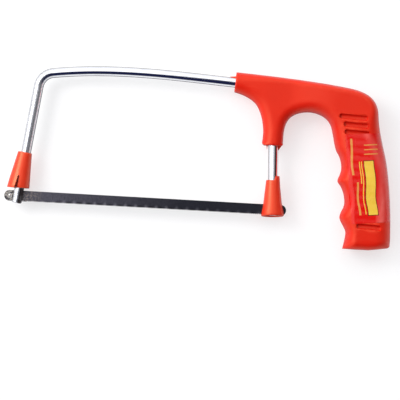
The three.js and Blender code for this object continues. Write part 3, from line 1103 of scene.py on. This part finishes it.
def printed_film(name, ink, clouded, roughness=0.16, wear_and_painted_highlight=None):
    """Glossy printed film: slightly uneven ink, small ripples, dust marks and painted shade where it turns
    down. It can carry a painted highlight in a paler band."""
    tint = (1, 0.8, 0.65, 1)
    look = Look(name, Specular_IOR_Level=0.45, Specular_Tint=tint, Coat_Weight=0.22, Coat_Roughness=0.09)
    look.start_colour(look.patches(120, 4, 0.3, 0.7), ink, clouded)
    # painted highlight: a pale band along the grip's back
    if wear_and_painted_highlight:
        look.cover(painted_highlight_band(look), wear_and_painted_highlight)
    # painted shade where the film turns down the sides
    look.cover(look.times(look.steep(0.2, 0.7), 0.5), (150, 10, 6))
    marks = look.noise(600, 5, (1, 0.4, 1))
    look.drive("Roughness", look.spread(marks, 0.35, 0.75, roughness, roughness + 0.14))
    look.set_bump((look.noise(220, 2), 0.05, 0.4), (look.noise(2600, 2), 0.004, 0.5))
    return look.material


# ---- Stage, light and camera ----

FLOOR_REACH = 3  # metres
FLOOR_GLOW = 0.6  # the floor is a light table, which keeps the shadows pale
KEY_PLACE = (-330, 240, 420)
KEY_SIZE = 300
KEY_WATTS = 2
CAMERA_TARGET = (105.3, 3.3)
CAMERA_HEIGHT = 600
CAMERA_FIELD = 222  # how much of the saw's middle plane the picture covers, edge to edge
CAMERA_ROLL = math.atan(0.0556)

SKY_BRIGHT = (1.54, 1.55, 1.58, 1)
SKY_DIM = (0.22, 0.22, 0.23, 1)
SKY_RIGHT = (0.2, 0.2, 0.2, 1)
SKY_LOW = (0.85, 0.85, 0.87, 1)
NAVY = (0.012, 0.016, 0.055, 1)
GREY = (0.25, 0.25, 0.26, 1)
BROWN = (0.05, 0.03, 0.03, 1)


def make_floor():
    mesh = bpy.data.meshes.new("floor")
    corners = [(x * FLOOR_REACH, y * FLOOR_REACH, FLOOR_Z) for x, y in ((-1, -1), (1, -1), (1, 1), (-1, 1))]
    mesh.from_pydata(corners, [], [(0, 1, 2, 3)])
    glow = {"Emission_Color": (1, 1, 1, 1), "Emission_Strength": FLOOR_GLOW}
    look = Look("pale_floor", Specular_IOR_Level=0.1, Roughness=0.8, **glow)
    look.start_colour(look.noise(9, 2), (171, 171, 171), (174, 174, 174))
    mesh.materials.append(look.material)
    add_object("floor", mesh)


class Sky(Nodes):
    """The world's light, worked out from the direction it comes from."""

    def __init__(self):
        self.world = bpy.data.worlds.new("studio")
        super().__init__(self.world)
        direction = self.add("ShaderNodeTexCoord").outputs["Generated"]
        self.x, self.y, self.z = (self.part(direction, axis) for axis in "XYZ")

    def ramp(self, value, low, high, to_low=0, to_high=1):
        return self.spread(value, low, high, to_low, to_high, "SMOOTHSTEP")

    def lean_ramp(self, part, start_degrees, end_degrees):
        """From 0 to 1 as a direction leans away from straight up, towards one side."""
        lean = self.math("ARCTAN2", part, self.z)
        return self.ramp(lean, math.radians(start_degrees), math.radians(end_degrees))


def make_surroundings():
    """A white studio, brightest to the upper left and dimmer on the right. Dark panels in it are what the
    bright rod shows as dark lines: on the blade's side a navy one that is grey at its right end, a small
    navy one overhead, and on the right a brown one."""
    sky = Sky()
    toward_light = sky.math("ADD", sky.times(sky.z, 0.79), sky.times(sky.x, -0.35))
    toward_light = sky.math("ADD", toward_light, sky.times(sky.y, 0.5))
    light = sky.blend(sky.ramp(toward_light, -0.5, 0.9), SKY_DIM, SKY_BRIGHT)
    light = sky.blend(sky.ramp(sky.x, 0.15, 0.8, 0, 0.7), light, SKY_RIGHT)
    light = sky.blend(sky.ramp(sky.z, 0.27, 0.2), light, SKY_LOW)
    blade_side = sky.times(
        sky.ramp(sky.math("SUBTRACT", sky.x, sky.y), -0.12, 0.11),
        sky.ramp(sky.z, 0.22, 0.36),
        sky.ramp(sky.x, -0.45, -0.3),
        sky.ramp(sky.y, 0.045, 0.012),
    )
    grey_end = sky.times(sky.ramp(sky.y, -0.35, -0.12), sky.ramp(sky.x, 0.08, 0.3))
    light = sky.blend(blade_side, light, sky.blend(grey_end, NAVY, GREY))
    overhead = sky.times(
        sky.ramp(sky.x, -0.06, 0.02),
        sky.ramp(sky.x, 0.14, 0.08),
        sky.ramp(sky.y, 0.28, 0.18),
        sky.ramp(sky.y, -0.1, 0.02),
    )
    light = sky.blend(overhead, light, NAVY)
    right_side = sky.times(
        sky.ramp(sky.y, 0.012, 0.045),
        sky.ramp(sky.y, 0.2, 0.12),
        sky.lean_ramp(sky.x, -4, 40),
        sky.lean_ramp(sky.x, 98, 86),
    )
    light = sky.blend(right_side, light, BROWN)
    sky.feed(sky.tree.nodes["Background"].inputs["Color"], light)
    bpy.context.scene.world = sky.world


def make_key_light():
    light = bpy.data.lights.new("key", "AREA")
    light.size = KEY_SIZE * MM
    light.energy = KEY_WATTS
    lamp = add_object("key", light)
    target = ORIGIN + Vector((*CAMERA_TARGET, 0)) * MM
    lamp.location = ORIGIN + Vector(KEY_PLACE) * MM
    lamp.rotation_euler = (target - lamp.location).to_track_quat("-Z", "Y").to_euler()


def make_camera():
    data = bpy.data.cameras.new("camera")
    data.angle = 2 * math.atan(CAMERA_FIELD / 2 / CAMERA_HEIGHT)
    camera = add_object("camera", data)
    camera.location = ORIGIN + Vector((*CAMERA_TARGET, CAMERA_HEIGHT)) * MM
    camera.rotation_euler = Euler((0, 0, CAMERA_ROLL))
    bpy.context.scene.camera = camera


# ---- The scene ----

# Colours: the plain and the clouded one, the one on worn edges, and the painted shade in hollows
HANDLE_COLOURS = ((224, 26, 9), (217, 20, 6), (248, 82, 50), (196, 8, 2))
SLEEVE_COLOURS = ((230, 38, 3), (222, 30, 2), (252, 98, 56), (196, 14, 2))


def build():
    cap_plastic = moulded_plastic("sleeve_plastic", SLEEVE_COLOURS, 0.42, 1)
    films = [
        # the red film's last colour is its painted highlight band
        printed_film("label_red_film", (224, 9, 3), (217, 6, 2), wear_and_painted_highlight=(252, 118, 108)),
        printed_film("label_gold_ink", (240, 198, 66), (232, 186, 60), 0.24),
        printed_film("label_dark_ink", (96, 24, 6), (84, 18, 6)),
        printed_film("label_fine_ink", (228, 150, 70), (216, 134, 62), 0.24),
    ]
    steel = bare_steel()
    make_handle(moulded_plastic("orange_plastic", HANDLE_COLOURS, 0.38, 0.5))
    make_bow_rod(chrome())
    front, rear = (front_leg_at, FRONT_SLEEVE_LIFT), (rear_post_at, REAR_SLEEVE_LIFT)
    make_sleeve("front_lock_sleeve", "front_sleeve", *front, cap_plastic, twist=FRONT_SLEEVE_TWIST)
    make_sleeve("rear_lock_sleeve", "rear_sleeve", *rear, cap_plastic, tongue=SLEEVE_TONGUE)
    make_blade(lacquered_steel())
    make_pin("front_cross_pin", "front_pin", 0, steel)
    make_pin("rear_cross_pin", "rear_pin", HOLE_PITCH, steel)
    make_label(films)
    make_floor()
    make_surroundings()
    make_key_light()
    make_camera()
    bpy.context.scene.view_settings.view_transform = "Standard"


build()
